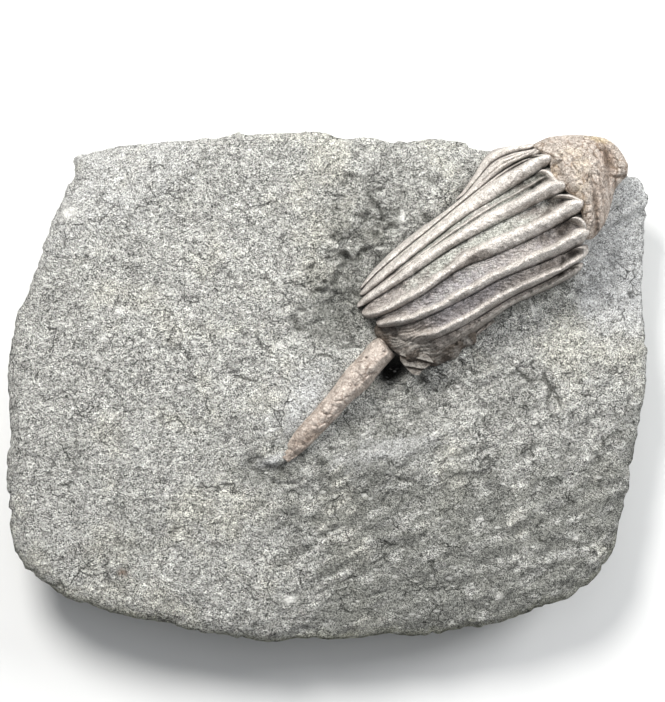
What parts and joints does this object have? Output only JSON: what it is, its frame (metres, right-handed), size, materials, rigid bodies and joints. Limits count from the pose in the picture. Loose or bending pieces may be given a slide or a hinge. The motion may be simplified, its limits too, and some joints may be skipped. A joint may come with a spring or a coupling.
{
  "type": "crinoid fossil",
  "caption": "Crinoid fossil: a crown with plated calyx, folded arm ribs and an anal tube, lying in relief on a broken slab of grey siltstone.",
  "frame": {"origin": "centre of the slab's underside, at the bottom centre of the bounding box", "axes": "+Z out of the prepared face that carries the fossil, +X along the slab's longer side, towards the side that the calyx is on, +Y along its shorter side, towards the edge that the calyx hangs over"},
  "size_m": [0.13, 0.103, 0.0346],
  "materials": {
    "siltstone": "matt",
    "calyx_limestone": "matt",
    "arm_limestone": "matt",
    "tube_limestone": "matt"
  },
  "bodies": {
    "root": {"matrix_slab": "siltstone", "calyx": "calyx_limestone", "arm_01": "arm_limestone", "arm_02": "arm_limestone", "arm_03": "arm_limestone", "arm_04": "arm_limestone", "arm_05": "arm_limestone", "arm_06": "arm_limestone", "arm_07": "arm_limestone", "arm_08": "arm_limestone", "arm_09": "arm_limestone", "anal_tube": "tube_limestone", "loose_plate": "tube_limestone"}
  },
  "joints": []
}
